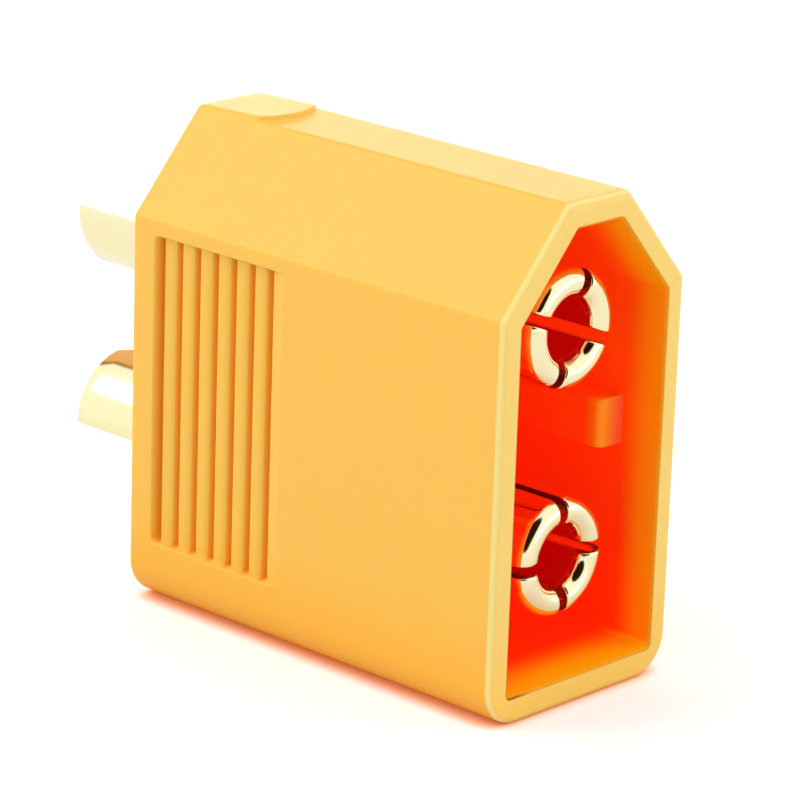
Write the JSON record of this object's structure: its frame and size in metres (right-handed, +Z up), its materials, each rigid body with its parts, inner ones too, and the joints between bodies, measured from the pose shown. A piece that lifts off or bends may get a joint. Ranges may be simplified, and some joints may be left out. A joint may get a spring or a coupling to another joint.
{
  "type": "two-pole battery connector plug",
  "caption": "Two-pole battery power connector: keyed nylon housing with an open shroud, slotted gold-plated pins inside and solder cups behind.",
  "frame": {"origin": "middle of the housing's flat narrow side, on which the part stands", "axes": "+X out of the open rim, the way the mate leaves; +Y across the thickness; +Z up to the chamfered narrow side"},
  "size_m": [0.0203, 0.0082, 0.0159],
  "materials": {
    "nylon": "satin",
    "gold_plate": "polished"
  },
  "bodies": {
    "root": {"housing": "nylon", "negative_contact": "gold_plate", "positive_contact": "gold_plate"}
  },
  "joints": []
}
